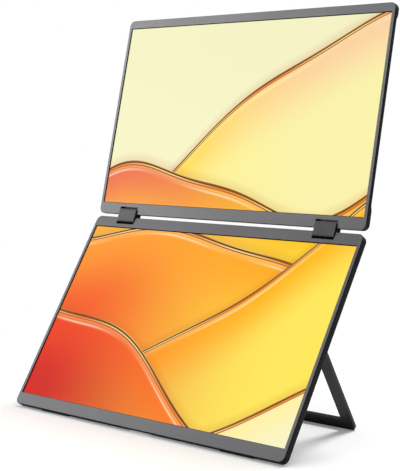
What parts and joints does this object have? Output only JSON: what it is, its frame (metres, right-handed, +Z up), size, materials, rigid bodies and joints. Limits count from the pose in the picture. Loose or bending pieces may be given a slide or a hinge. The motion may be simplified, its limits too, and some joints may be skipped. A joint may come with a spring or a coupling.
{
  "type": "laptop screen extender",
  "caption": "Stacked portable monitor: an upper display folds onto a lower one on geared two-axis hinges, and a U-shaped kickstand props it on a desk.",
  "frame": {"origin": "on the desk plane, under the middle of the object's width and depth as it stands", "axes": "+Z up; the screens face -Y; +X to the right of someone looking at the screens"},
  "size_m": [0.3533, 0.1727, 0.4016],
  "materials": {
    "bezel_grey": "satin painted grey",
    "cover_black": "fine moulded black",
    "display": "lit matte display",
    "tray_metal": "bare pressed sheet",
    "rubber": "matte",
    "circuit_board": "solder mask",
    "chip_black": "moulded",
    "socket_steel": "tinned",
    "cable_tan": "film",
    "key_black": "satin",
    "stand_blue_grey": "satin powder coat",
    "hinge_grey": "satin painted dark grey",
    "screw_steel": "blackened",
    "pin_steel": "ground",
    "plate_steel": "pressed",
    "washer_nylon": "natural"
  },
  "bodies": {
    "lower_display": {"board_chips": "chip_black", "desk_pads": "rubber", "key_switch_board": "circuit_board", "left_lower_hinge_bracket": "plate_steel", "left_lower_hinge_shaft": "pin_steel", "left_speaker": "chip_black", "left_stand_clevis": "plate_steel", "lower_backlight_tray": "tray_metal", "lower_cover_screws": "screw_steel", "lower_display_cable": "cable_tan", "lower_display_glass": "display", "lower_front_bezel": "bezel_grey", "lower_hinge_screws": "screw_steel", "lower_rear_cover": "cover_black", "main_board": "circuit_board", "mini_hdmi_socket": "socket_steel", "right_lower_hinge_bracket": "plate_steel", "right_lower_hinge_shaft": "pin_steel", "right_speaker": "chip_black", "right_stand_clevis": "plate_steel", "stand_washers": "washer_nylon", "usb_c_sockets": "socket_steel"},
    "hinge_links": {"hinge_cover_screws": "screw_steel", "left_bearing_plates": "plate_steel", "left_friction_washers": "plate_steel", "left_hinge_front_cover": "hinge_grey", "left_hinge_rear_cover": "hinge_grey", "right_bearing_plates": "plate_steel", "right_friction_washers": "plate_steel", "right_hinge_front_cover": "hinge_grey", "right_hinge_rear_cover": "hinge_grey"},
    "upper_display": {"driver_chips": "chip_black", "left_upper_hinge_bracket": "plate_steel", "left_upper_hinge_shaft": "pin_steel", "right_upper_hinge_bracket": "plate_steel", "right_upper_hinge_shaft": "pin_steel", "upper_backlight_tray": "tray_metal", "upper_cover_screws": "screw_steel", "upper_display_glass": "display", "upper_driver_board": "circuit_board", "upper_front_bezel": "bezel_grey", "upper_hinge_screws": "screw_steel", "upper_rear_cover": "cover_black"},
    "lower_idler_gears": {"left_lower_idler_gear": "pin_steel", "right_lower_idler_gear": "pin_steel"},
    "upper_idler_gears": {"left_upper_idler_gear": "pin_steel", "right_upper_idler_gear": "pin_steel"},
    "kickstand": {"stand_foot_pad": "rubber", "stand_frame": "stand_blue_grey", "stand_pins": "pin_steel"},
    "power_button": {"power_button": "key_black"},
    "menu_rocker": {"menu_rocker": "key_black"}
  },
  "joints": [
    {"name": "lower_fold", "type": "hinge", "parent": "lower_display", "child": "hinge_links", "pos_m": [0, 0.0319, 0.18507], "axis": [-1, 0, 0], "range_deg": [-80.4, 9.6]},
    {"name": "upper_fold", "type": "hinge", "parent": "hinge_links", "child": "upper_display", "pos_m": [0, 0.03536, 0.19338], "axis": [-1, 0, 0], "range_deg": [-80.4, 9.6]},
    {"name": "lower_idler_turn", "type": "hinge", "parent": "hinge_links", "child": "lower_idler_gears", "pos_m": [0, 0.03305, 0.18784], "axis": [-1, 0, 0], "range_deg": [-80.4, 9.6]},
    {"name": "upper_idler_turn", "type": "hinge", "parent": "hinge_links", "child": "upper_idler_gears", "pos_m": [0, 0.0342, 0.19061], "axis": [1, 0, 0], "range_deg": [-80.4, 9.6]},
    {"name": "stand_swing", "type": "hinge", "parent": "lower_display", "child": "kickstand", "pos_m": [0, -0.00799, 0.11591], "axis": [1, 0, 0], "range_deg": [-62.62, 20]},
    {"name": "power_press", "type": "slide", "parent": "lower_display", "child": "power_button", "axis": [1, 0, 0], "range_m": [0, 0.0005], "stiffness_N_per_m": 1500, "springref_m": -0.0007},
    {"name": "rocker_tilt", "type": "hinge", "parent": "lower_display", "child": "menu_rocker", "pos_m": [-0.1745, 0.01925, 0.16198], "axis": [0, 0.8462, -0.5329], "range_deg": [-3.5, 3.5], "stiffness_Nm_per_rad": 0.12}
  ],
  "couplings": [
    {"joint": "upper_fold", "follows": "lower_fold", "ratio": 1},
    {"joint": "lower_idler_turn", "follows": "lower_fold", "ratio": 1},
    {"joint": "upper_idler_turn", "follows": "lower_fold", "ratio": 1}
  ]
}
